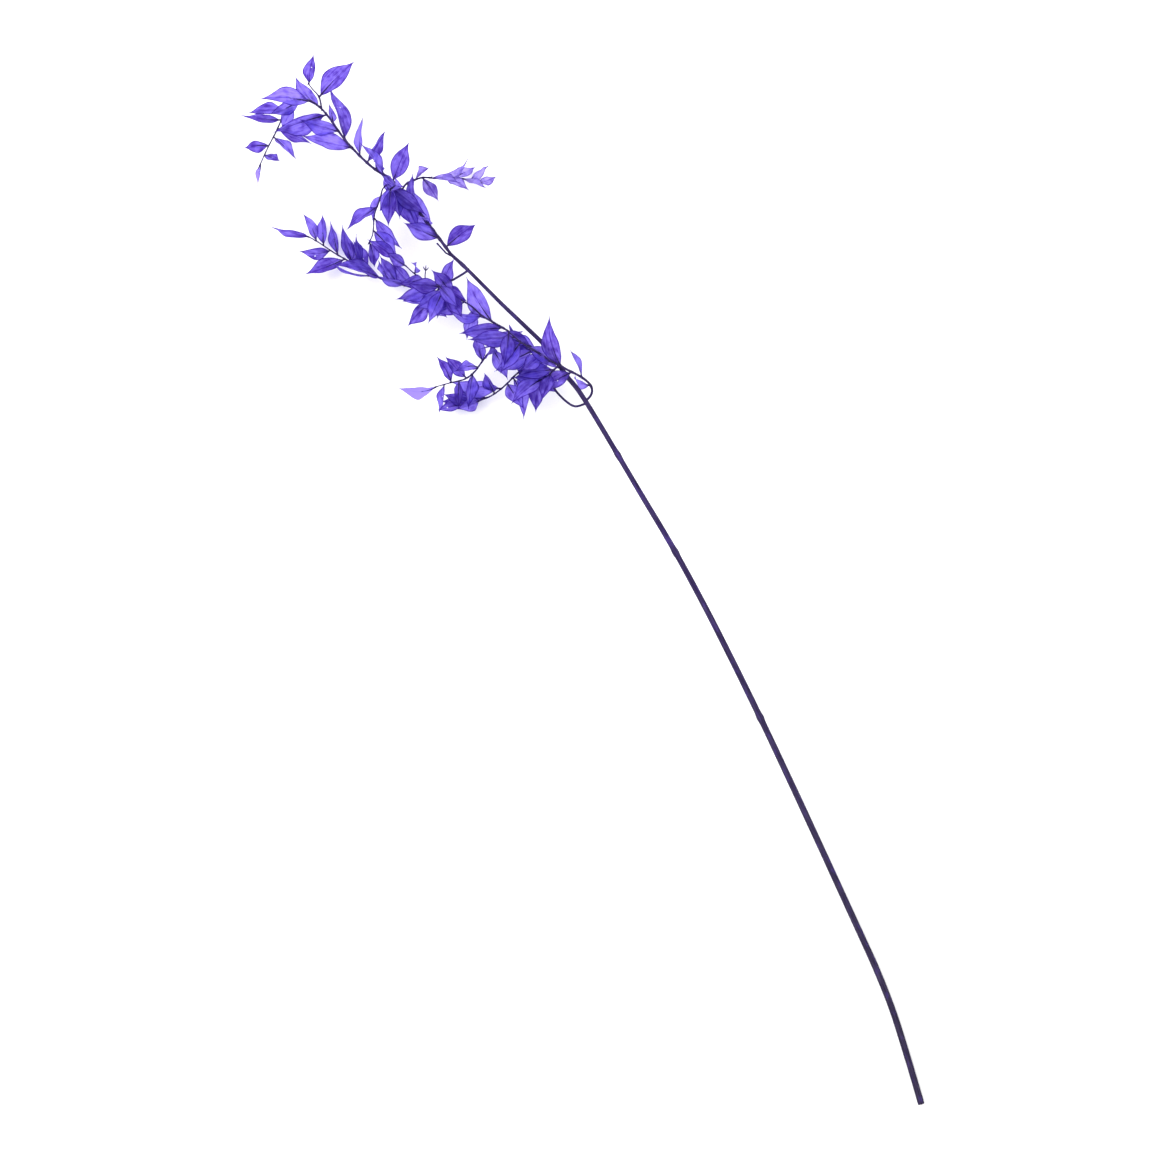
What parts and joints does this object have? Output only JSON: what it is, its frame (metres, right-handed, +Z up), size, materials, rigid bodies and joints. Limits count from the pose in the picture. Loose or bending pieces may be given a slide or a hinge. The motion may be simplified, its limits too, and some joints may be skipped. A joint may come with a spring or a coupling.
{
  "type": "dried ruscus stem",
  "caption": "Cut stem of dried, dyed ruscus lying on its side: a bare, slightly bowed woody stalk ending in leafy sprays of pointed, papery blades",
  "frame": {"origin": "centre of the bounding box's floor, on the surface the stem lies on", "axes": "+Y runs along the stem from its cut end towards its crown, +X points to the side of the cut end, +Z points up off the surface"},
  "size_m": [0.5294, 0.8098, 0.0795],
  "materials": {
    "stalk": "matte",
    "leaf": "satin"
  },
  "bodies": {
    "root": {"main_stalk": "stalk", "crown_spray": "leaf", "left_spray": "leaf", "middle_spray": "leaf", "lower_spray": "leaf", "right_spray": "leaf", "hanging_spray": "leaf"}
  },
  "joints": []
}
